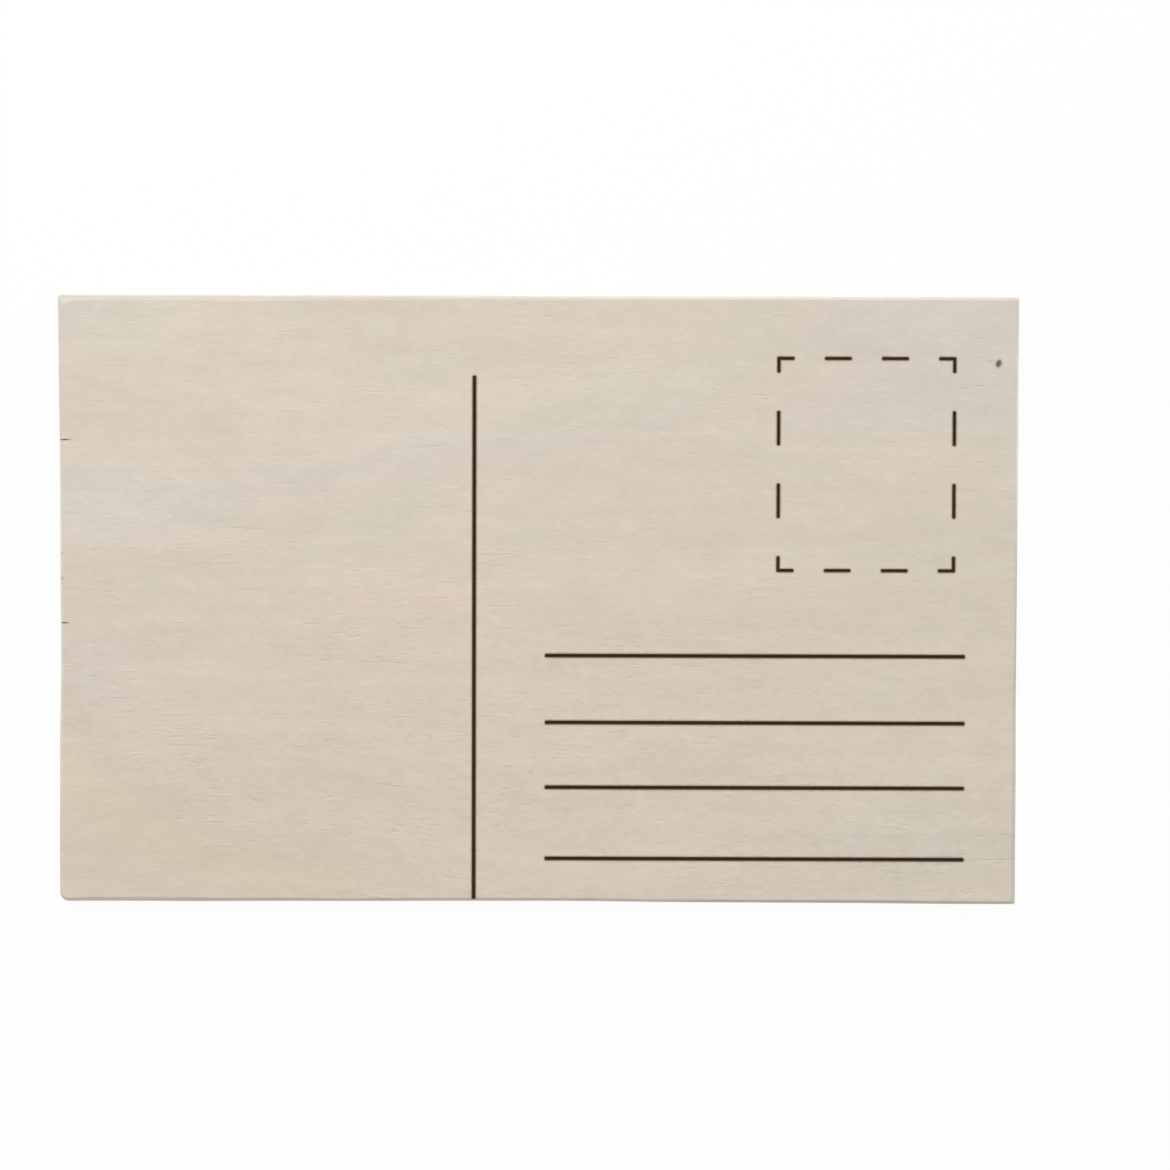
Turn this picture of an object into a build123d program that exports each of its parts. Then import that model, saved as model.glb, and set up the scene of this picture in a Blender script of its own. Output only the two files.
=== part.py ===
from build123d import *
import os

# Wooden postcard: three veneers glued crosswise, with the address side burnt in by a laser.
# X runs along the grain of both faces, Y up the card and Z out of the address side. Millimetres.
# The origin lies under the middle of the card, on its bare picture side.

# Board
card_length = 150.0
card_height = 95.0
face_ply = 0.9
core_ply = 1.0
glue_film = 0.1
corner_radius = 0.4
worn_corner_radius = 1.3
arris_radius = 0.6

# How far a cut that opens at an edge is drawn past it
edge_overrun = 1.0

# Burnt strokes: a shallow groove lined with a crust of char
rule_width = 0.62
dash_width = 0.56
burn_depth = 0.15
char_crust = 0.04
spot_radius = 0.2

# Divider, from its top end down to the lower edge and off it
divider_left_margin = 65.05
divider_top_margin = 12.4

# Address rules
rule_length = 65.8
rule_right_margin = 8.05
rule_bottom_margin = 6.9
rule_gap_bottom = 11.2
rule_gap_middle = 10.2
rule_gap_top = 10.5

# Stamp frame, measured along the middle of its strokes
stamp_width = 27.45
stamp_height = 33.15
stamp_right_margin = 9.95
stamp_top_margin = 9.6
corner_leg_across = 2.45
corner_leg_up = 2.25
dash_across = 4.2
dash_up = 5.45
dashes_per_side = 2

# Marks that the wood itself has
knot_width = 0.9
knot_height = 1.2
knot_tilt = 20.0
knot_right_margin = 3.1
knot_top_margin = 10.3
split_width = 0.2
split_depth = 0.5
upper_split_length = 1.75
upper_split_margin = 22.6
lower_split_length = 1.45
lower_split_margin = 51.3

# Heights of the layers, from the picture side up
back_glue_floor = face_ply
core_floor = back_glue_floor + glue_film
front_glue_floor = core_floor + core_ply
front_floor = front_glue_floor + glue_film
address_face = front_floor + face_ply

# Edges of the card
left_edge = -card_length / 2
right_edge = card_length / 2
bottom_edge = -card_height / 2
top_edge = card_height / 2

# Edges of the stamp frame
stamp_right = right_edge - stamp_right_margin
stamp_left = stamp_right - stamp_width
stamp_top = top_edge - stamp_top_margin
stamp_bottom = stamp_top - stamp_height

os.makedirs("parts", exist_ok=True)


def dash_spans(side, leg, dash):
    """Start and end of each dash along a side of the stamp frame, with even gaps between the legs."""
    gap = (side - 2 * leg - dashes_per_side * dash) / (dashes_per_side + 1)
    starts = [leg + gap + number * (dash + gap) for number in range(dashes_per_side)]
    return [(start, start + dash) for start in starts]


def keep(piece, name):
    """Name a finished piece and write it out."""
    piece.part.label = name
    export_step(piece.part, f"parts/{name}.step")


# Paths of the beam: each stroke's name, width and points
strokes = {}

divider_x = left_edge + divider_left_margin
divider_top = top_edge - divider_top_margin
strokes["divider_rule"] = (
    rule_width,
    [(divider_x, divider_top), (divider_x, bottom_edge - edge_overrun)],
)

rule_right = right_edge - rule_right_margin
rule_left = rule_right - rule_length
rule_y = bottom_edge + rule_bottom_margin + rule_gap_bottom + rule_gap_middle + rule_gap_top
for number, gap_below in enumerate([rule_gap_top, rule_gap_middle, rule_gap_bottom, 0], start=1):
    strokes[f"address_rule_{number}"] = (rule_width, [(rule_left, rule_y), (rule_right, rule_y)])
    rule_y -= gap_below

for row, y, inward_y in (("top", stamp_top, -1), ("bottom", stamp_bottom, 1)):
    for column, x, inward_x in (("left", stamp_left, 1), ("right", stamp_right, -1)):
        strokes[f"stamp_corner_{row}_{column}"] = (
            dash_width,
            [(x + inward_x * corner_leg_across, y), (x, y), (x, y + inward_y * corner_leg_up)],
        )

for number, (start, end) in enumerate(dash_spans(stamp_width, corner_leg_across, dash_across), start=1):
    for row, y in (("top", stamp_top), ("bottom", stamp_bottom)):
        strokes[f"stamp_dash_{row}_{number}"] = (
            dash_width,
            [(stamp_left + start, y), (stamp_left + end, y)],
        )

for number, (start, end) in enumerate(dash_spans(stamp_height, corner_leg_up, dash_up), start=1):
    for column, x in (("left", stamp_left), ("right", stamp_right)):
        strokes[f"stamp_dash_{column}_{number}"] = (
            dash_width,
            [(x, stamp_top - start), (x, stamp_top - end)],
        )

# Plans of the strokes on the address face: the groove's mouth, and the hollow inside its crust
mouths = {}
hollows = {}
for name, (width, points) in strokes.items():
    with BuildSketch(Plane.XY.offset(address_face)) as mouth:
        with BuildLine():
            Polyline(*points)
        trace(line_width=width)
        fillet(mouth.vertices(), spot_radius)
    with BuildSketch(Plane.XY.offset(address_face)) as hollow:
        add(mouth.sketch_local)
        offset(amount=-char_crust, mode=Mode.REPLACE)
    mouths[name] = mouth.sketch
    hollows[name] = hollow.sketch

# The card seen from above; its lower left corner is worn rounder than the others
with BuildSketch() as card_outline:
    with BuildLine():
        FilletPolyline(
            (left_edge, bottom_edge),
            (right_edge, bottom_edge),
            (right_edge, top_edge),
            (left_edge, top_edge),
            radius=[worn_corner_radius, corner_radius, corner_radius, corner_radius],
            close=True,
        )
    make_face()

# Picture side: bare veneer with its lower edges eased
with BuildPart() as back_veneer:
    with BuildSketch():
        add(card_outline.sketch)
    extrude(amount=face_ply)
    fillet(back_veneer.faces().sort_by(Axis.Z)[0].edges(), arris_radius)
keep(back_veneer, "back_veneer")

# Glue films, squeezed out flush with the edges
for name, floor in (("back_glue_line", back_glue_floor), ("front_glue_line", front_glue_floor)):
    with BuildPart() as glue_line:
        with BuildSketch(Plane.XY.offset(floor)):
            add(card_outline.sketch)
        extrude(amount=glue_film)
    keep(glue_line, name)

# Core, with its grain across the card
with BuildPart() as core_veneer:
    with BuildSketch(Plane.XY.offset(core_floor)):
        add(card_outline.sketch)
    extrude(amount=core_ply)
keep(core_veneer, "core_veneer")

# Knot, an oval plug that grew through the front veneer
with BuildPart() as pin_knot:
    with BuildSketch(Plane.XY.offset(front_floor)):
        with Locations((right_edge - knot_right_margin, top_edge - knot_top_margin)):
            Ellipse(knot_width / 2, knot_height / 2, rotation=-knot_tilt)
    extrude(amount=face_ply)
keep(pin_knot, "pin_knot")

# Address side before the beam has passed, with its upper edges eased
with BuildPart() as veneer_blank:
    with BuildSketch(Plane.XY.offset(front_floor)):
        add(card_outline.sketch)
    extrude(amount=face_ply)
    fillet(veneer_blank.faces().sort_by(Axis.Z)[-1].edges(), arris_radius)

# Address side: grooves burnt in, the knot's seat, and two short splits that open at the left edge
with BuildPart() as front_veneer:
    add(veneer_blank.part)
    for mouth in mouths.values():
        extrude(mouth, amount=-burn_depth, mode=Mode.SUBTRACT)
    add(pin_knot.part, mode=Mode.SUBTRACT)
    with BuildSketch(Plane.XY.offset(address_face)):
        for margin, length in (
            (upper_split_margin, upper_split_length),
            (lower_split_margin, lower_split_length),
        ):
            near_end = (left_edge - edge_overrun, top_edge - margin)
            far_end = (left_edge + length, top_edge - margin)
            with BuildLine():
                SagittaArc(near_end, far_end, split_width / 2)
                SagittaArc(far_end, near_end, split_width / 2)
            make_face()
    extrude(amount=-split_depth, mode=Mode.SUBTRACT)
keep(front_veneer, "front_veneer")

# Char: the crust that lines each groove, flush with the face and cut off where the wood ends
for name, mouth in mouths.items():
    with BuildPart() as char:
        extrude(mouth, amount=-burn_depth)
        extrude(hollows[name], amount=char_crust - burn_depth, mode=Mode.SUBTRACT)
        add(veneer_blank.part, mode=Mode.INTERSECT)
    keep(char, name)
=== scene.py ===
# %% [markdown]
# # A wooden postcard
# The card is a small plywood board: a pale veneer on each face, a third one crosswise between them, and a
# film of glue in each joint. A laser has burnt the address side with a divider, four address rules and a
# broken frame for the stamp. The solids come finished from CAD, so this lesson gives them wood, glue and
# char to be made of, wears the edges of the board, and sets up the light and the camera.

# %% Load the card
import math

import bmesh
import bpy
from mathutils import Euler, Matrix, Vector


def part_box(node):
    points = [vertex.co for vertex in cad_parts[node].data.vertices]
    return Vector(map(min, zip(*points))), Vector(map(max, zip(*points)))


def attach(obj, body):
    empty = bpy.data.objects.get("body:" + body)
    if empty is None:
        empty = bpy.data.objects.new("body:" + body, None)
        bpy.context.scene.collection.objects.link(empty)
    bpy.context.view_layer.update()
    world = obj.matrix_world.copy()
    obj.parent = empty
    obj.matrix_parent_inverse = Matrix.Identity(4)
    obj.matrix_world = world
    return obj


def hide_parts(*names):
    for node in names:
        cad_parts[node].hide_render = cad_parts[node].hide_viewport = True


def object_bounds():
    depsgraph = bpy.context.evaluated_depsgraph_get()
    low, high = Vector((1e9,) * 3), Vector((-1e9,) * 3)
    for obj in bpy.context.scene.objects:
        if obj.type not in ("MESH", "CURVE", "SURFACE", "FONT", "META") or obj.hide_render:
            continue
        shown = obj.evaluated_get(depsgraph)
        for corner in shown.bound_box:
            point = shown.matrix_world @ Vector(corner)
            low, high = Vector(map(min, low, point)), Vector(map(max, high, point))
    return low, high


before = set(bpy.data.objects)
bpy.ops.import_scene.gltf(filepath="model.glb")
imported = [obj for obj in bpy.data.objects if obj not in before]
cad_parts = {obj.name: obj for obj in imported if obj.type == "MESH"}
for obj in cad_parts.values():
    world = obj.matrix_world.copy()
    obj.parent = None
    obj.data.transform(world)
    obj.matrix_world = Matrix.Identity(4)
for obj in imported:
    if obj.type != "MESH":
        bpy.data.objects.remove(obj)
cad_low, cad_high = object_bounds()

MM = 0.001
card_length, card_height, card_thickness = (cad_high - cad_low) / MM
print(f"card {card_length:.1f} x {card_height:.1f} x {card_thickness:.1f} mm, {len(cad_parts)} solids")

# %% [markdown]
# ## The camera
# The card lies on a table and is seen from almost straight above, through a long lens. The view could be
# matched by eye, but the card's four corners in the picture fix the camera's place and its small tilt, and
# then no shift of the lens is needed.

# %% Camera
CAMERA_PLACE = (11.55, 33.35, 689.16)
CAMERA_TILT = (-2.583, 0.353, 0.163)
LENS = 135
SENSOR_WIDTH = 36

camera_data = bpy.data.cameras.new("camera")
camera_data.lens = LENS
camera_data.sensor_width = SENSOR_WIDTH
camera = bpy.data.objects.new("camera", camera_data)
camera.location = Vector(CAMERA_PLACE) * MM
camera.rotation_euler = Euler([math.radians(angle) for angle in CAMERA_TILT])
bpy.context.scene.collection.objects.link(camera)
bpy.context.scene.camera = camera
bpy.context.scene.view_settings.view_transform = "Standard"
print(f"camera {camera.location.z:.3f} m above the table")

# %% [markdown]
# ## Shader maths as Python
# Materials here are worked out from formulas. They could be wired up node by node, which is hard to read, so
# one small class wraps a node's output: an operator on it adds a Math node, and `node` adds any other kind.


# %% A wire that can be used in an expression
class Wire:
    """One output of a shader node. Operators on it add Math nodes."""

    def __init__(self, tree, socket=None):
        self.tree = tree
        self.socket = socket

    def node(self, kind, settings=None, inputs=None, output=0):
        """Add a node: settings first, then the values or links of its sockets. Gives one of its outputs."""
        made = self.tree.nodes.new(kind)
        for name, setting in (settings or {}).items():
            setattr(made, name, setting)
        for name, value in (inputs or {}).items():
            if isinstance(value, Wire):
                self.tree.links.new(value.socket, made.inputs[name])
            else:
                made.inputs[name].default_value = value
        return Wire(self.tree, made.outputs[output])

    def math(self, operation, first, second=0.0):
        """Add a Math node."""
        return self.node("ShaderNodeMath", {"operation": operation}, {0: first, 1: second})

    def __add__(self, other):
        return self.math("ADD", self, other)

    def __sub__(self, other):
        return self.math("SUBTRACT", self, other)

    def __rsub__(self, other):
        return self.math("SUBTRACT", other, self)

    def __mul__(self, other):
        return self.math("MULTIPLY", self, other)

    def __truediv__(self, other):
        return self.math("DIVIDE", self, other)

    def __abs__(self):
        return self.math("ABSOLUTE", self)

    __radd__ = __add__
    __rmul__ = __mul__


print("a wire takes + - * / and abs()")

# %% [markdown]
# ## Daylight
# The picture was taken in soft daylight from all round, with a stronger part from beyond the card's upper
# edge: the eased upper edge is paler than the face, and the lower edge is darker. A picture of a real sky
# could give such light, but a white world, a little brighter towards the upper edge, and one large lamp there
# are easier to set. Their shares add up to 1, so a colour renders as it is written.

# %% World
WINDOW_SHARE = 0.3
SKY_SLOPE = 0.35
WHITE = (1, 1, 1, 1)


def axes_of(vector):
    """The three parts of a vector, as wires."""
    split = vector.node("ShaderNodeSeparateXYZ", inputs={0: vector}).socket.node
    return [Wire(vector.tree, output) for output in split.outputs]


def seen_white(start):
    """1 for rays that show the surroundings, in the picture or mirrored in something, and 0 for light."""
    rays = start.node("ShaderNodeLightPath").socket.node.outputs
    camera_ray, glossy_ray, clear_ray = (
        Wire(start.tree, rays[f"Is {kind} Ray"]) for kind in ("Camera", "Glossy", "Transmission")
    )
    return start.math("MAXIMUM", start.math("MAXIMUM", camera_ray, glossy_ray), clear_ray)


def feed(shader, **inputs):
    """Link wires to the shader's sockets, named with _ for a space."""
    for name, wire in inputs.items():
        wire.tree.links.new(wire.socket, shader.inputs[name.replace("_", " ")])


world = bpy.data.worlds.new("daylight")
world.use_nodes = True
bpy.context.scene.world = world
background = world.node_tree.nodes["Background"]
background.inputs["Color"].default_value = WHITE
start = Wire(world.node_tree)
towards = start.node("ShaderNodeTexCoord", output="Generated")
sky = (1 - WINDOW_SHARE) * (1 + SKY_SLOPE * axes_of(towards)[1])
seen = seen_white(start)
feed(background, Strength=seen + (1 - seen) * sky)
print(f"world gives {1 - WINDOW_SHARE:.0%} of the light")

# %% [markdown]
# ## The window
# The stronger part of the light falls on a slant over the card's upper edge and brings out the pores. A sun
# lamp would draw hard shadows, so this is a large square lamp. Its power is worked out from its distance and
# height, so that it gives a flat card its share of the light and no more.

# %% Window beyond the upper edge
WINDOW_DIRECTION = Vector((-0.18, 0.767, 0.616)).normalized()
WINDOW_DISTANCE = 0.46
WINDOW_SIDE = 0.38

window_data = bpy.data.lights.new("window", "AREA")
window_data.shape = "SQUARE"
window_data.size = WINDOW_SIDE
window_data.energy = WINDOW_SHARE * math.pi**2 * WINDOW_DISTANCE**2 / WINDOW_DIRECTION.z
window = bpy.data.objects.new("window", window_data)
window.location = WINDOW_DIRECTION * WINDOW_DISTANCE
window.rotation_euler = (-WINDOW_DIRECTION).to_track_quat("-Z", "Y").to_euler()
bpy.context.scene.collection.objects.link(window)
print(f"window lamp {window_data.energy:.2f} W")

# %% [markdown]
# ## The table
# The card lies on a white table, with only a faint shadow round it. More light would bleach the wood as well,
# so the table glows where the picture shows it, and is plain white for the light that falls on the card. A
# little of it stays lit in the picture too, to keep the shadow.

# %% Table
TABLE_GLOW = 0.94
TABLE_REACH = 3.0
TABLE_WHITE = (0.95, 0.95, 0.95, 1)


def new_finish(name):
    """A material with one Principled shader, and a wire to start its formulas from."""
    finish = bpy.data.materials.new(name)
    finish.use_nodes = True
    return finish, finish.node_tree.nodes["Principled BSDF"], Wire(finish.node_tree)


table_mesh = bpy.data.meshes.new("table")
rim = [(-1, -1), (1, -1), (1, 1), (-1, 1)]
table_mesh.from_pydata([(TABLE_REACH * x, TABLE_REACH * y, 0) for x, y in rim], [], [range(4)])
table = bpy.data.objects.new("table", table_mesh)
bpy.context.scene.collection.objects.link(table)

table_finish, table_shader, start = new_finish("table white")
table_shader.inputs["Base Color"].default_value = TABLE_WHITE
table_shader.inputs["Roughness"].default_value = 1.0
table_shader.inputs["Specular IOR Level"].default_value = 0.0
glow = start.node("ShaderNodeEmission", inputs={"Color": WHITE, "Strength": 1.0})
lit = Wire(start.tree, table_shader.outputs[0])
mixed = start.node("ShaderNodeMixShader", inputs={0: TABLE_GLOW * seen_white(start), 1: lit, 2: glow})
start.tree.links.new(mixed.socket, start.tree.nodes["Material Output"].inputs["Surface"])
table_mesh.materials.append(table_finish)
print(f"table {2 * TABLE_REACH:.0f} m across")

# %% [markdown]
# ## Sanded edges
# The board was sawn and its edges were rubbed over with sandpaper by hand. None is quite straight: the left
# and lower ones are rubbed hollow by a quarter of a millimetre. The sandpaper has also left a narrow facet
# along the face. The CAD solids have straight edges with an even rounding, at the mean of the true ones. The
# wear could be sculpted by hand, but a formula that moves points can be shared by all plies, so that they
# stay flush.

# %% How an edge is worn
half_sides = (card_length / 2, card_height / 2)
ARRIS = 0.6
LONG_WAVE = 8.5
SHORT_WAVE = 3.7
EDGE_WAVER = 0.02
FACET_WAVER = 0.15


def smooth(share):
    """0 below 0, 1 above 1, and a smooth rise between."""
    share = min(1.0, max(0.0, share))
    return share * share * (3 - 2 * share)


class Edge:
    """One edge of the card, in mm. Axis and side: which way it faces. Stand: how far its ends stand out from
    the straight edge. Hollows: how deep each is, and between which places. Facet and tilt: the facet's width
    at both ends, and its slant in degrees. Start: where the waves along the edge begin."""

    def __init__(self, axis, side, stand, hollows, facet, tilt, start):
        self.axis = axis
        self.side = side
        self.stand = stand
        self.hollows = hollows
        self.facet = facet
        self.fall = math.tan(math.radians(tilt))
        self.start = start

    def inset(self, point):
        """Distance of a point from the straight edge, inwards."""
        return max(0.0, half_sides[self.axis] - self.side * point[self.axis])

    def waver(self, run):
        """An uneven line between -1 and 1, the sum of two waves along the edge."""
        long = math.sin(run / LONG_WAVE + self.start)
        short = math.sin(run / SHORT_WAVE + 3 * self.start)
        return 0.6 * long + 0.4 * short

    def hollowed(self, point):
        """How far the edge is worn inwards here. Each hollow starts and ends softly, over a third of it."""
        run = point[1 - self.axis]
        inwards = EDGE_WAVER * self.waver(run) - self.stand
        for depth, low, high in self.hollows:
            third = (high - low) / 3
            inwards += depth * smooth((run - low) / third) * smooth((high - run) / third)
        return inwards

    def rounded(self, point):
        """How far the even rounding of the CAD edge lies below the face here."""
        return ARRIS - math.sqrt(ARRIS**2 - max(0.0, ARRIS - self.inset(point)) ** 2)

    def sanded(self, point):
        """How far the sandpaper's facet lies below the face here."""
        run = point[1 - self.axis]
        share = 0.5 + run / half_sides[1 - self.axis] / 2
        width = self.facet[0] + (self.facet[1] - self.facet[0]) * share
        return (width * (1 + FACET_WAVER * self.waver(run)) - self.inset(point)) * self.fall


print("edges waver by", EDGE_WAVER, "mm")

# %% [markdown]
# ## The four edges
# The upper edge is sanded wide and shallow, and the others are steeper. On the right one the facet runs out
# towards the top. Each edge gets its own numbers, because one rule for all four would look machined.

# %% The four edges
TOP = Edge(
    axis=1,
    side=1,
    stand=0.06,
    hollows=[(0.05, -20, 70)],
    facet=(0.92, 0.25),
    tilt=16,
    start=0.4,
)
BOTTOM = Edge(
    axis=1,
    side=-1,
    stand=0.115,
    hollows=[(0.14, -58, 33), (0.1, -30, 67)],
    facet=(0.56, 0.48),
    tilt=57,
    start=2.1,
)
LEFT = Edge(
    axis=0,
    side=-1,
    stand=0.07,
    hollows=[(0.245, -37, 46), (0.07, -22, 2), (0.08, -70, -18)],
    facet=(0.55, 0.6),
    tilt=31,
    start=1.2,
)
RIGHT = Edge(
    axis=0,
    side=1,
    stand=0.05,
    hollows=[(0.05, -30, 10)],
    facet=(0.65, 0.0),
    tilt=48,
    start=4.0,
)
EDGES = (TOP, BOTTOM, LEFT, RIGHT)
print("facets", [edge.facet for edge in EDGES], "mm wide")

# %% [markdown]
# ## Where a point of the board goes
# Wear moves a point most at the edge, and not at all a little way in. The upper left corner has a facet of
# its own. The softer core and the glue are set back a touch further than the faces. Blender's Displace
# modifier could move points as well, but it would need a painted mask for each edge.

# %% Wear of a point
CORNER_FACET = 1.55
CORNER_FALL = math.tan(math.radians(18))
CORNER_TAPER = 0.25
WORN_MARGIN = 2.5
FACE_PLY = 0.9
RECESS_PITCH = 2.3


def cut_off(point):
    """How far sanding lowers the face here, beyond the rounding that it has already."""
    corner = (CORNER_FACET - TOP.inset(point) - CORNER_TAPER * LEFT.inset(point)) * CORNER_FALL
    deepest = max(corner, *(edge.sanded(point) for edge in EDGES))
    return max(0.0, deepest - max(edge.rounded(point) for edge in EDGES))


def worn(point, recess):
    """Where a point of the straight board, in mm, lies after sanding; recess sets a softer ply back."""
    moved = point.copy()
    for edge in EDGES:
        fade = max(0.0, 1 - edge.inset(point) / WORN_MARGIN) ** 2
        set_back = edge.hollowed(point) + recess * (1 + edge.waver(RECESS_PITCH * point[1 - edge.axis]))
        moved[edge.axis] -= edge.side * set_back * fade
    above = point.z - card_thickness / 2
    depth = card_thickness / 2 - abs(above)
    moved.z -= math.copysign(cut_off(point) * max(0.0, 1 - depth / FACE_PLY), above)
    return moved


left_middle = worn(Vector((-card_length / 2, 0, card_thickness / 2)), recess=0.0)
print(f"the left edge is worn {left_middle.x + card_length / 2:.2f} mm at its middle")

# %% [markdown]
# ## Rows of points
# A flat face from CAD has no points to move. It could be subdivided all over, but that makes far more faces
# than the wear needs, so a copy of each ply is cut into rows, close together along the edges only.

# %% Rows
ROW_STEP = 2.5
FACET_ROWS = (0.75, 0.9, 1.05, 1.25, 1.6)
WELD = 1e-4
SLIVER = 0.004


def rows(axis):
    """Where the board is cut across one axis: evenly all over, and closely along its two edges."""
    half = half_sides[axis]
    count = round(2 * half / ROW_STEP)
    even = [-half + 2 * half * number / count for number in range(1, count)]
    return even + [side * (half - inset) for side in (-1, 1) for inset in FACET_ROWS]


def cut_into_rows(bm):
    """Cut a mesh along both axes, and dissolve the slivers that cuts close to a corner leave."""
    for axis, direction in enumerate((Vector((1, 0, 0)), Vector((0, 1, 0)))):
        for place in rows(axis):
            everything = bm.verts[:] + bm.edges[:] + bm.faces[:]
            plane = {"plane_co": direction * place * MM, "plane_no": direction}
            bmesh.ops.bisect_plane(bm, geom=everything, dist=WELD * MM, **plane)
    bmesh.ops.dissolve_degenerate(bm, edges=bm.edges, dist=SLIVER * MM)


print(len(rows(0)), "cuts along the card and", len(rows(1)), "across it")

# %% A worn copy of a solid
FLAT = 0.9995
SHARP_ANGLE = 35


def worn_copy(node, finish, recess=0.0):
    """Make a worn copy of a CAD solid, which stands for it. The solid's own normals don't fit the copy."""
    bm = bmesh.new()
    bm.from_mesh(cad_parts[node].data)
    bmesh.ops.remove_doubles(bm, verts=bm.verts, dist=WELD * MM)
    cut_into_rows(bm)
    for vertex in bm.verts:
        vertex.co = worn(vertex.co / MM, recess) * MM
    mesh = bpy.data.meshes.new(f"{node}_worn")
    bm.to_mesh(mesh)
    bm.free()
    mesh.attributes.remove(mesh.attributes["custom_normal"])
    for face in mesh.polygons:
        face.use_smooth = abs(face.normal.z) < FLAT
    mesh.set_sharp_from_angle(angle=math.radians(SHARP_ANGLE))
    mesh.materials.append(finish)
    piece = bpy.data.objects.new(mesh.name, mesh)
    bpy.context.scene.collection.objects.link(piece)
    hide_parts(node)
    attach(piece, "root")
    print(f"{piece.name}: {len(mesh.polygons)} faces")


print("worn copies are shaded smooth up to", SHARP_ANGLE, "degrees")

# %% [markdown]
# ## Noise of a known size
# Wood is the same all through, so its figure is worked out from the place of a point in the board. A picture
# wrapped round the board would show seams at its edges. Places are in millimetres, so noise with lumps of a
# known size gives grain that is as fine as on the real wood. A soft step then picks out the few lumps that
# become pores.

# %% Noise and soft steps
NOISE_ROUGHNESS = 0.55


def noise(x, y, z, size, detail=1.0, seed=0.0):
    """Smooth noise about 0, mostly within a third of it, with lumps of this size in mm along x, y and z."""
    where = x.node("ShaderNodeCombineXYZ", inputs={0: x / size[0], 1: y / size[1], 2: z / size[2] + seed})
    inputs = {"Vector": where, "Scale": 1.0, "Detail": detail, "Roughness": NOISE_ROUGHNESS}
    return x.node("ShaderNodeTexNoise", {"noise_dimensions": "3D"}, inputs) - 0.5


def soft_step(value, low, high):
    """0 below low, 1 above high, and a smooth rise between; the other way round where low is above high."""
    inputs = {"Value": value, "From Min": low, "From Max": high}
    return value.node("ShaderNodeMapRange", {"interpolation_type": "SMOOTHSTEP"}, inputs)


print(f"finer noise has {NOISE_ROUGHNESS:.0%} of the strength of the next coarser one")

# %% [markdown]
# ## Pale veneer
# The veneers are peeled from a pale, even wood. Up close its face shows short open pores, a fraction of a
# millimetre wide and a few long, and raised fibres like them, which catch the light from the upper edge: dark
# on one side and pale on the other. Over these lie flecks, faint streaks and broad, barely tinted zones. Each
# is noise drawn out along the grain. The cut edges then show the right thing by themselves, long lines along
# the grain and dots on the end grain.

# %% Grain of one veneer
LEVEL = 0.011


class Wood:
    """The figure of one veneer, as wires: its relief, and how many levels paler or darker than the mean it
    is. Rich: how strong its pores, raised fibres and flecks are here."""

    def __init__(self, along, across, depth, seed, rich=1.0):
        line = across + 2.5 * noise(along, across, depth, (70, 40, 40), seed=seed)

        def lumps(long, wide, step, detail=1.0):
            """Noise that follows the grain, with lumps this long and wide in mm."""
            return noise(along, line, depth, (long, wide, wide), detail, seed + step)

        short_lines = lumps(2.4, 0.9, 1.3)
        long_lines = lumps(6.5, 0.8, 2.7)

        def beyond(side):
            """Only the lines that stand far out of the mean, above it for side 1 and below it for -1."""
            short = soft_step(short_lines, side * 0.11, side * 0.34)
            return short + soft_step(long_lines, side * 0.16, side * 0.34)

        crowd = rich * (0.4 + soft_step(lumps(18, 7, 8.1), -0.2, 0.2))
        self.pores = crowd * beyond(1)
        self.ridges = crowd * beyond(-1)
        self.fibre = lumps(1.0, 0.3, 3.1)
        self.hair = lumps(2.0, 0.06, 9.3)
        self.fleck = lumps(1.4, 0.9, 6.4, detail=2)
        self.tubes = soft_step(lumps(4.0, 0.17, 10.2), 0.0, 0.3)
        mottle = lumps(5, 2.6, 5.2, detail=3)
        streak = lumps(45, 2.2, 4.9, detail=2)
        tide = lumps(40, 9, 7.7, detail=2)
        fine = 0.5 * self.fibre + 6 * self.hair + 10 * rich * self.fleck + 0.9 * (self.ridges - self.pores)
        self.levels = fine + 11 * mottle + 7 * streak + 12 * tide


print("one screen level is a share of", LEVEL, "of the wood's colour")

# %% [markdown]
# ## Colours
# Colours are easiest to choose as they look on a screen, from 0 to 255, while shaders work in linear light.
# Blender's colour picker turns one into the other, and so does the standard curve of a screen, which is used
# here to keep the numbers in this file easy to compare with a picture's.


# %% Colours
def screen(red, green, blue):
    """A colour as it looks on a screen, from 0 to 255, in the linear light of the shaders."""
    shares = [level / 255 for level in (red, green, blue)]
    linear = [s / 12.92 if s <= 0.04045 else ((s + 0.055) / 1.055) ** 2.4 for s in shares]
    return (*linear, 1.0)


def blend(share, below, above):
    """Below where the share is 0, above where it is 1."""
    return share.node("ShaderNodeMix", {"data_type": "RGBA"}, {0: share, 6: below, 7: above}, output=2)


def shade(colour, factor):
    """A colour made lighter or darker by a factor."""
    return factor.node("ShaderNodeVectorMath", {"operation": "SCALE"}, {0: colour, "Scale": factor})


print("mid grey on a screen is", round(screen(128, 128, 128)[0], 3), "in linear light")

# %% [markdown]
# ## Sawn sides and end grain
# Sawn sides are rougher than the face. Where a cut runs across the grain, it opens the tubes that carried the
# tree's water, so end grain is darker and full of dots. The sides could have a material of their own, but the
# surface's direction already tells faces, facets, sides and end grain apart, so one finish does for all.

# %% Faces, facets and sides
OFF_THE_FACE = (0.99, 0.955)
OFF_THE_SIDES = (0.2, 0.6)


def facing(start, axis):
    """How squarely the surface faces along an axis, from 0 to 1."""
    return abs(axes_of(start.node("ShaderNodeNewGeometry", output="Normal"))[axis])


def sanded(start):
    """1 where sandpaper has cut a slant through the face, 0 on the face itself and on the sawn sides."""
    upward = facing(start, 2)
    return soft_step(upward, *OFF_THE_FACE) * soft_step(upward, *OFF_THE_SIDES)


print(f"a facet leans by {math.degrees(math.acos(OFF_THE_FACE[0])):.0f} degrees or more")

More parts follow.
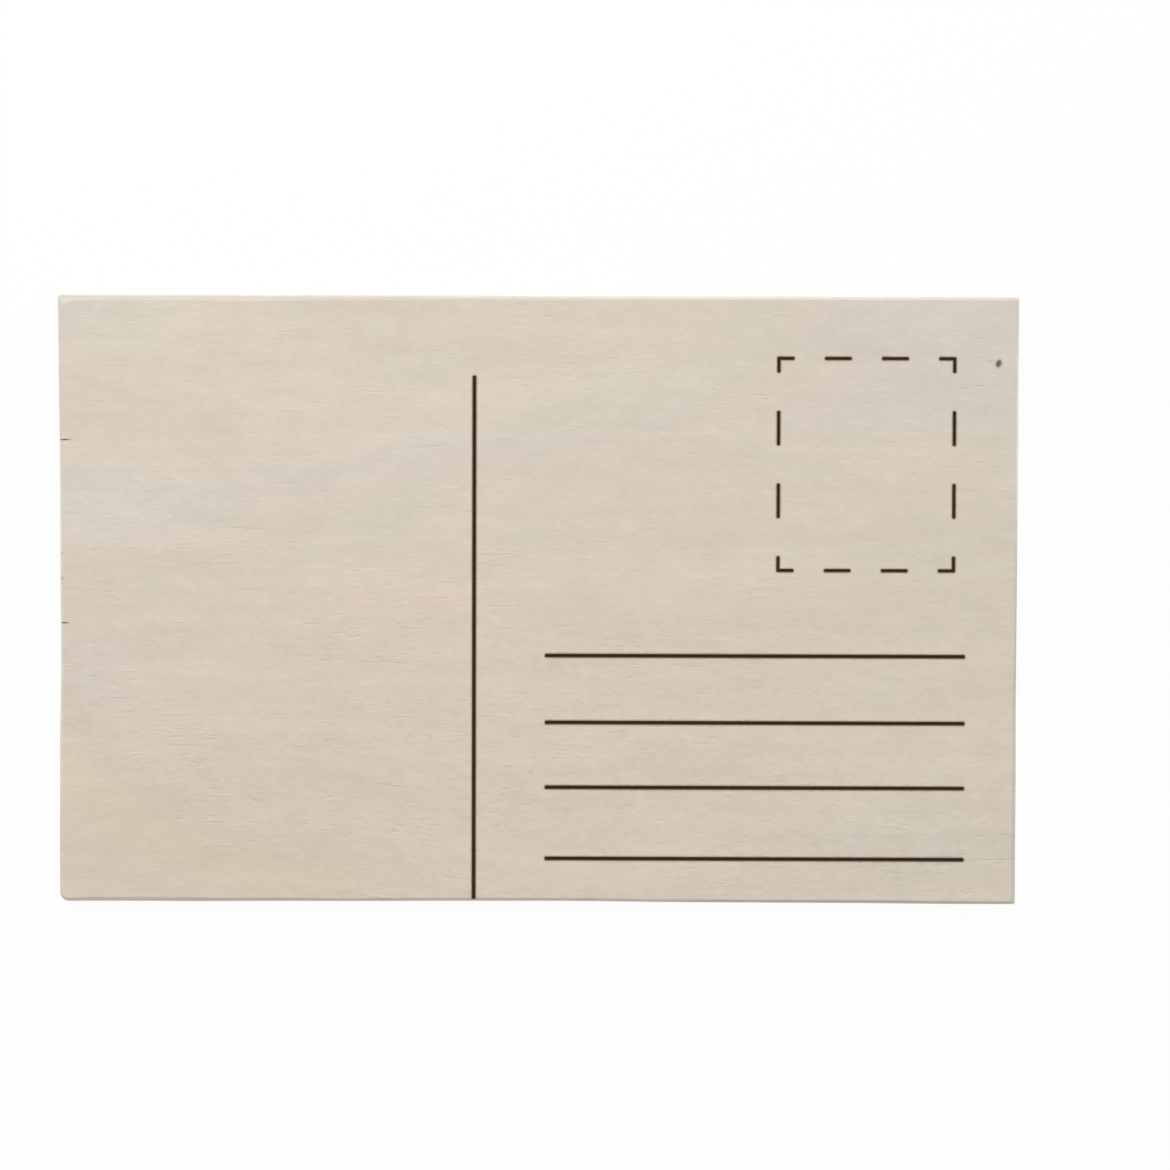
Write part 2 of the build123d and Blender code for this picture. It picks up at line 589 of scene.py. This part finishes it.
# %% Finish of bare wood
SIDEWAYS = (0.7, 0.3)
END_ON = (0.6, 0.95)
OPEN_TUBE = screen(146, 120, 90)
END_GRAIN_LEVELS = 12
WOOD_RELIEF = 0.03
WOOD_ROUGHNESS = 0.66
DULL = 0.2


def bumps(height, depth):
    """The normal of a surface that this height raises, by a depth in mm."""
    return height.node("ShaderNodeBump", inputs={"Strength": 1.0, "Distance": depth * MM, "Height": height})


def finish_wood(shader, wood, colour, grain_axis):
    """Send the wood's colour, gloss and relief to its shader."""
    sawn = soft_step(facing(wood.levels, 2), *SIDEWAYS)
    end_grain = soft_step(facing(wood.levels, grain_axis), *END_ON)
    levels = (1 + sawn) * wood.levels - END_GRAIN_LEVELS * end_grain
    colour = blend(0.4 * end_grain * wood.tubes, colour, OPEN_TUBE)
    height = 0.1 * wood.fibre + 0.05 * wood.hair + 0.4 * wood.fleck + 0.8 * wood.ridges - wood.pores
    height = (1 + sawn) * height - 0.8 * end_grain * wood.tubes
    roughness = WOOD_ROUGHNESS + 0.1 * wood.pores + 0.1 * end_grain
    colour = shade(colour, 1 + LEVEL * levels)
    feed(shader, Base_Color=colour, Roughness=roughness, Normal=bumps(height, WOOD_RELIEF))
    shader.inputs["Specular IOR Level"].default_value = DULL


print(f"the wood's relief is about {WOOD_RELIEF} mm deep")

# %% [markdown]
# ## Soft ovals
# Tints and dirt have no hard rim. They could be painted on, but a handful of ovals is enough: each is a
# number from 0 to 1 that fades out from a centre and then blends two colours.


# %% Soft ovals
def length(x, y):
    """The distance of a point from the origin, seen from above."""
    return x.math("SQRT", x * x + y * y)


def soft_spot(x, y, centre, radii):
    """1 at the centre of an oval, falling softly to 0 at its rim."""
    across = (x - centre[0]) / radii[0]
    up = (y - centre[1]) / radii[1]
    return soft_step(across * across + up * up, 1.0, 0.0)


def soft_zone(x, y, centre, radii):
    """1 at the centre of an oval and falling away from there, with no rim to be seen."""
    across = (x - centre[0]) / radii[0]
    up = (y - centre[1]) / radii[1]
    return soft_step(length(across, up), 1.0, 0.0)


print("a soft spot is full all over its middle, and a soft zone only at its centre")

# %% [markdown]
# ## Tints of the address side
# On this veneer the tint drifts from place to place, by a few levels: a yellower corner of heartwood at the
# lower left, a cooler patch at the upper right, and soft bands between. Noise alone would put them anywhere,
# so each is an oval, set where the card shows it, that may slope along the card. Two rings of the heartwood
# rise towards the left edge, so they follow a curve instead.

# %% Tints
WARM = screen(219.6, 205.9, 190.2)
COOL = screen(216.5, 207.1, 191.8)
YELLOW = screen(222, 207, 180)
BROWN = screen(214, 199, 182)

# Each zone's centre, radii, slope, tint and strength
ZONES = {
    "rosy lower half": ((0, -26), (110, 44), 0.0, screen(221, 205, 191), 0.4),
    "yellow corner": ((-75, -42), (26, 22), 0.0, screen(217, 203, 181), 0.55),
    "cool corner": ((62, 42), (44, 34), 0.0, screen(209, 206, 199), 0.35),
    "grey band": ((-15, 22), (90, 6), 0.14, screen(213, 207, 200), 0.3),
    "chalky patch": ((-70, 14), (34, 12), 0.05, screen(221, 214, 209), 0.35),
    "warm patch": ((-50, 33), (20, 14), 0.0, screen(223, 206, 189), 0.3),
    "grey corner": ((-75, 46), (22, 12), 0.0, screen(207, 203, 192), 0.4),
    "orange band": ((-8, -1), (80, 9), 0.0, screen(226, 206, 186), 0.35),
    "olive patch": ((62, -2), (36, 11), 0.0, screen(217, 206, 180), 0.4),
    "green patch": ((60, -38), (30, 13), 0.0, screen(213, 208, 194), 0.35),
    "mauve band": ((-34, -26), (46, 14), -0.2, screen(220, 203, 192), 0.35),
    "mauve patch": ((-74, -10), (16, 16), 0.0, screen(216, 205, 197), 0.35),
}

# Each ring's level far from the left edge, its rise at that edge, width, tint and strength
RINGS = [(-44, 30, 9, BROWN, 0.45), (-46, 22, 7, YELLOW, 0.5)]
RING_REACH = 15.0
RING_FADE = (-10, -40)


def tinted(x, y, z):
    """The veneer's colour before light and dark, with zones whose rims are ragged."""
    ragged = 12 * noise(x, y, z, (30, 6, 6), detail=3, seed=20)
    hue = soft_step(noise(x, y, z, (13, 6, 6), detail=2, seed=23), -0.22, 0.22)
    colour = blend(hue, WARM, COOL)
    for centre, radii, slope, tint, strength in ZONES.values():
        level_y = y - slope * (x - centre[0])
        colour = blend(strength * soft_zone(x + 2 * ragged, level_y + ragged, centre, radii), colour, tint)
    for level, rise, width, tint, strength in RINGS:
        height = y + 0.5 * ragged - level - rise * x.math("EXPONENT", (x + card_length / 2) / -RING_REACH)
        share = strength * soft_step(abs(height), width, 0.0) * soft_step(x, *RING_FADE)
        colour = blend(share, colour, tint)
    return colour


print(len(ZONES), "tinted zones and", len(RINGS), "rings")

# %% [markdown]
# ## Dark marks, painted shade and painted highlights
# The two splits at the left edge get painted shade, and the wood is darker at two nicks there and along the
# right half of the lower edge. A dark streak leads to the knot. The left edge and the upper part of the right
# one get a painted highlight. The dark marks make the wood darker and the highlights make it paler, so there
# is one list of ovals for each.

# %% Marks
# Near-white colour of the painted highlights along the left and right edges
HIGHLIGHT_PALE = screen(252, 248, 242)

# Each mark's centre, radii and how many levels darker it is
DIRT_AND_PAINTED_SHADE = {
    # The two splits are darkened as painted shade in their cracks; the nicks and the lower edge are just
    # darker
    "upper split": ((-73.8, 24.9), (1.25, 0.17), 34),
    "lower split": ((-74.1, -3.8), (1.1, 0.17), 32),
    "lower nick": ((-74.5, 3.2), (0.35, 0.4), 22),
    "upper nick": ((-74.6, 7.1), (0.3, 0.25), 18),
    "streak beside the knot": ((70.5, 37.55), (1.0, 0.15), 18),
    "end of the streak": ((68.85, 38.15), (1.3, 0.14), 9),
    "lower edge": ((50, -47.4), (36, 0.5), 10),
}

# Each painted highlight's centre, radii and strength, along one edge
PAINTED_EDGE_HIGHLIGHTS = {
    "right edge": ((75.2, 28), (0.65, 32), 0.9),
    "left edge": ((-75.2, -3), (0.95, 42), 0.45),
}
print(len(DIRT_AND_PAINTED_SHADE), "dark marks and", len(PAINTED_EDGE_HIGHLIGHTS), "painted edge highlights")

# %% [markdown]
# ## Scorched margins
# The beam has scorched the wood beside each stroke, over a third of a millimetre. A shader node can look for
# other surfaces near a point, but it is slow and noisy. A stroke is a straight bar with round ends, so a
# formula gives the distance from it, with the strokes' places taken from the CAD solids. On the lower facet
# the sandpaper has taken the end of the divider off again.


# %% Distance from one stroke
def box_in_mm(node):
    """The corners of a CAD solid seen from above, in mm."""
    return [(corner / MM).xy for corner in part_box(node)]


def outside(x, y, low, high):
    """How far a point lies outside a straight stroke with round ends, in mm, and below 0 inside it."""
    middle = (low + high) / 2
    half = (high - low) / 2
    round_end = min(half)
    beyond_x = x.math("MAXIMUM", abs(x - middle.x) - (half.x - round_end), 0.0)
    beyond_y = y.math("MAXIMUM", abs(y - middle.y) - (half.y - round_end), 0.0)
    return length(beyond_x, beyond_y) - round_end


print("divider from", *(f"({corner.x:.1f}, {corner.y:.1f})" for corner in box_in_mm("divider_rule")), "mm")

# %% Distance from all strokes
RULES = ("divider_rule", *(f"address_rule_{number}" for number in range(1, 5)))
RUBBED_OFF = (0.6, 0.25)


def nearest_stroke(x, y):
    """Distance from the nearest burnt stroke. The stamp frame's quarters are alike, so one is enough."""
    distances = [outside(x, y, *box_in_mm(rule)) for rule in RULES]
    inner, outer = box_in_mm("stamp_corner_top_right")
    middle = (outer + box_in_mm("stamp_corner_bottom_left")[0]) / 2
    dash_low, dash_high = box_in_mm("stamp_dash_top_2")
    width = dash_high.y - dash_low.y
    legs = [(Vector((inner.x, outer.y - width)), outer), (Vector((outer.x - width, inner.y)), outer)]
    for low, high in (*legs, (dash_low, dash_high), box_in_mm("stamp_dash_right_1")):
        distances.append(outside(abs(x - middle.x), abs(y - middle.y), low - middle, high - middle))
    nearest = distances[0]
    for distance in distances[1:]:
        nearest = nearest.math("MINIMUM", nearest, distance)
    return nearest


def rubbed_off(y):
    """1 on the lower facet, where the sandpaper has taken off the end of the burnt divider."""
    return soft_step(y, *(inset - card_height / 2 for inset in RUBBED_OFF))


print(f"the divider is rubbed off within {RUBBED_OFF[0]} mm of the lower edge")

# %% [markdown]
# ## Round the knot
# A small knot sits near the upper right corner, and the wood round it is grey. The halo and the knot's own
# finish both need the distance from the knot, which is a slanting oval, so it is worked out once for both.

# %% Distance from the knot
KNOT_HALVES = (0.45, 0.6)
KNOT_TILT = math.radians(20)

knot_low, knot_high = box_in_mm("pin_knot")
knot_x, knot_y = (knot_low + knot_high) / 2


def from_knot(x, y):
    """Distance from the middle of the slanting knot, 1 at its rim."""
    right = x - knot_x
    up = y - knot_y
    across = math.cos(KNOT_TILT) * right - math.sin(KNOT_TILT) * up
    along = math.sin(KNOT_TILT) * right + math.cos(KNOT_TILT) * up
    return length(across / KNOT_HALVES[0], along / KNOT_HALVES[1])


print(f"knot at {knot_x:.1f}, {knot_y:.1f} mm")

# %% [markdown]
# ## The address side
# Now the finish is put together. The grain arches over the heartwood, where it is also plainer, and it is a
# little richer in the lower half. Over the tints come the sanded facets, the scorched margins, the painted
# highlights on the edges, the knot's halo, and the dark marks with painted shade in the splits. Layers of
# paint would be built up in the same order.

# %% Address side
SANDED = screen(217, 209.5, 200)
SANDED_SHARE = 0.6
SCORCHED = screen(126, 92, 56)
SCORCHED_SHARE = 0.55
SCORCH_REACH = 0.3
ARCH = ((-48, -44), (46, 34))
ARCH_RISE = 4
HEARTWOOD = ((-75, -44), (34, 22))
RICHER = (8, -22)
HALO = (1.7, 0.9)
HALO_LEVELS = 26


def place_in_mm(start):
    """The point being shaded, as three wires in millimetres."""
    point = start.node("ShaderNodeTexCoord", output="Object")
    return axes_of(start.node("ShaderNodeVectorMath", {"operation": "SCALE"}, {0: point, "Scale": 1 / MM}))


def address_side(name):
    """The finish of the face with the burnt rules."""
    finish, shader, start = new_finish(name)
    x, y, z = place_in_mm(start)
    arch = soft_spot(x, y, *ARCH)
    rich = 1 + 0.4 * soft_step(y, *RICHER) - 0.6 * soft_spot(x, y, *HEARTWOOD)
    wood = Wood(x, y - ARCH_RISE * arch, z, seed=3.0, rich=rich)
    colour = blend(SANDED_SHARE * sanded(start), tinted(x, y, z), SANDED)
    smoke = 0.2 * noise(x, y, z, (0.9, 0.9, 0.9), detail=2, seed=33)
    heat = soft_step(nearest_stroke(x, y) + smoke, SCORCH_REACH, 0.0) * (1 - rubbed_off(y))
    colour = blend(SCORCHED_SHARE * heat, colour, SCORCHED)
    # Painted highlights: pale strips along the left edge and the upper part of the right one
    for centre, radii, strength in PAINTED_EDGE_HIGHLIGHTS.values():
        colour = blend(strength * soft_spot(x, y, centre, radii), colour, HIGHLIGHT_PALE)
    wood.levels = wood.levels - HALO_LEVELS * soft_step(from_knot(x, y), *HALO)
    # Dark marks: the streak by the knot, darker wood at the nicks and lower edge, and painted shade in the
    # splits
    for centre, radii, depth in DIRT_AND_PAINTED_SHADE.values():
        wood.levels = wood.levels - depth * soft_spot(x, y, centre, radii)
    finish_wood(shader, wood, colour, grain_axis=0)
    return finish


worn_copy("front_veneer", address_side("pale veneer, address side"))

# %% [markdown]
# ## The picture side
# The back is the same wood, peeled from another place and left bare. It could share the address side's
# finish, but then the same marks would show through on both faces, so it takes the grain with another seed
# and a plain drift of tint.

# %% Picture side
BARE_GREY = screen(213, 201, 186)
BARE_WARM = screen(220, 205, 185)


def picture_side(name):
    """The finish of the bare back."""
    finish, shader, start = new_finish(name)
    x, y, z = place_in_mm(start)
    wood = Wood(x, y, z, seed=61.0)
    tide = noise(x, y, z, (80, 16, 16), detail=2, seed=70)
    colour = blend(0.5 + 2 * tide, BARE_GREY, BARE_WARM)
    colour = blend(SANDED_SHARE * sanded(start), colour, SANDED)
    finish_wood(shader, wood, colour, grain_axis=0)
    return finish


worn_copy("back_veneer", picture_side("pale veneer, picture side"))

# %% [markdown]
# ## The core
# The core's grain runs across the card, so that the card's long edges show its end grain. No new texture is
# needed for that: the same grain takes y as its length and x as its width.

# %% Core
CORE_DULL = screen(207, 193, 172)
CORE_WARM = screen(216, 201, 178)
CORE_RECESS = 0.02


def core_wood(name):
    """The finish of the crosswise ply."""
    finish, shader, start = new_finish(name)
    x, y, z = place_in_mm(start)
    wood = Wood(y, x, z, seed=113.0)
    tide = noise(x, y, z, (14, 14, 5), detail=2, seed=120)
    colour = blend(0.5 + 2.5 * tide, CORE_DULL, CORE_WARM)
    finish_wood(shader, wood, colour, grain_axis=1)
    return finish


worn_copy("core_veneer", core_wood("crosswise core"), recess=CORE_RECESS)

# %% [markdown]
# ## Glue
# The films of glue show only as two thin brown lines round the board, paler where the glue was starved. They
# shrank as they dried, so they lie a little deeper than the wood. A line could be painted on the wood, but
# each film is a solid of its own, so it gets a plain finish.

# %% Glue
GLUE_BROWN = screen(128, 96, 62)
GLUE_STARVED = screen(176, 146, 108)
GLUE_RECESS = 0.03


def glue_film(name):
    """The finish of dried glue."""
    finish, shader, start = new_finish(name)
    x, y, z = place_in_mm(start)
    starved = noise(x, y, z, (3, 3, 0.5), detail=3, seed=130)
    colour = blend(soft_step(starved, -0.15, 0.2), GLUE_BROWN, GLUE_STARVED)
    feed(shader, Base_Color=colour, Roughness=0.5 + 0.6 * starved)
    return finish


glue_finish = glue_film("glue")
for node in ("front_glue_line", "back_glue_line"):
    worn_copy(node, glue_finish, recess=GLUE_RECESS)

# %% [markdown]
# ## Char
# The beam leaves a groove lined with char: nearly black, rough, and browner where the heat faded at its rim.
# The strokes keep their CAD solids, apart from the divider, which runs off the worn lower edge. They could
# have plain black for a finish, but the brown rim is what makes them look burnt and not printed.

# %% Char
CHAR = screen(28, 19, 9)
ASHEN = screen(48, 36, 21)
BROWNED = screen(112, 94, 70)
RIM_REACH = 0.24
CHAR_RELIEF = 0.02


def burnt(name):
    """The finish of a burnt stroke."""
    finish, shader, start = new_finish(name)
    x, y, z = place_in_mm(start)
    soot = noise(x, y, z, (0.5, 0.5, 0.2), detail=3, seed=40)
    rim = soft_step(nearest_stroke(x, y) + 0.1 * soot, -RIM_REACH, 0.0)
    colour = blend(0.85 * rim, blend(0.5 + soot, CHAR, ASHEN), BROWNED)
    colour = blend(0.9 * rubbed_off(y), colour, SANDED)
    feed(shader, Base_Color=colour, Roughness=0.85 + 0.2 * soot, Normal=bumps(soot, CHAR_RELIEF))
    shader.inputs["Specular IOR Level"].default_value = DULL
    return finish


def dress(node, finish):
    """Give a CAD solid its finish."""
    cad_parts[node].data.materials.clear()
    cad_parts[node].data.materials.append(finish)


char_finish = burnt("char")
strokes = [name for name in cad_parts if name.startswith(("address", "stamp"))]
for name in strokes:
    dress(name, char_finish)
worn_copy("divider_rule", char_finish)
print(len(strokes) + 1, "burnt strokes")

# %% [markdown]
# ## The knot
# A pin knot is the cut end of a tiny twig, on a slant: grey-brown, with two dark spots of bark and a soft
# rim. It is smaller than a match head, so its rings, spots and rim aren't modelled but come from its finish.

# %% Knot
TWIG_PALE = screen(136, 125, 111)
TWIG_DARK = screen(116, 105, 91)
BARK = screen(84, 75, 63)
KNOT_RIM = screen(175, 160, 140)
KNOT_RELIEF = 0.02

# Each spot's centre from the knot's middle, and its radii
UPPER_SPOT = ((0.14, 0.22), (0.3, 0.34))
LOWER_SPOT = ((-0.15, -0.22), (0.34, 0.34))


def twig_end(name):
    """The finish of the knot."""
    finish, shader, start = new_finish(name)
    x, y, z = place_in_mm(start)
    bark = noise(x, y, z, (0.25, 0.25, 0.4), detail=2, seed=150)
    reach = from_knot(x, y)
    rings = start.math("SINE", 20 * reach + 6 * bark)
    upper, lower = (soft_spot(x - knot_x, y - knot_y, *spot) for spot in (UPPER_SPOT, LOWER_SPOT))
    colour = blend(0.5 + bark, TWIG_PALE, TWIG_DARK)
    colour = blend(0.85 * start.math("MAXIMUM", 0.7 * upper, lower), colour, BARK)
    colour = blend(0.75 * soft_step(reach + 0.3 * bark, 0.5, 1.0), colour, KNOT_RIM)
    colour = shade(colour, 1 + 0.1 * rings)
    feed(shader, Base_Color=colour, Roughness=0.7 + 0.3 * bark, Normal=bumps(bark, KNOT_RELIEF))
    shader.inputs["Specular IOR Level"].default_value = DULL
    return finish


dress("pin_knot", twig_end("pin knot"))
print(f"knot {2 * KNOT_HALVES[0]:.1f} x {2 * KNOT_HALVES[1]:.1f} mm")
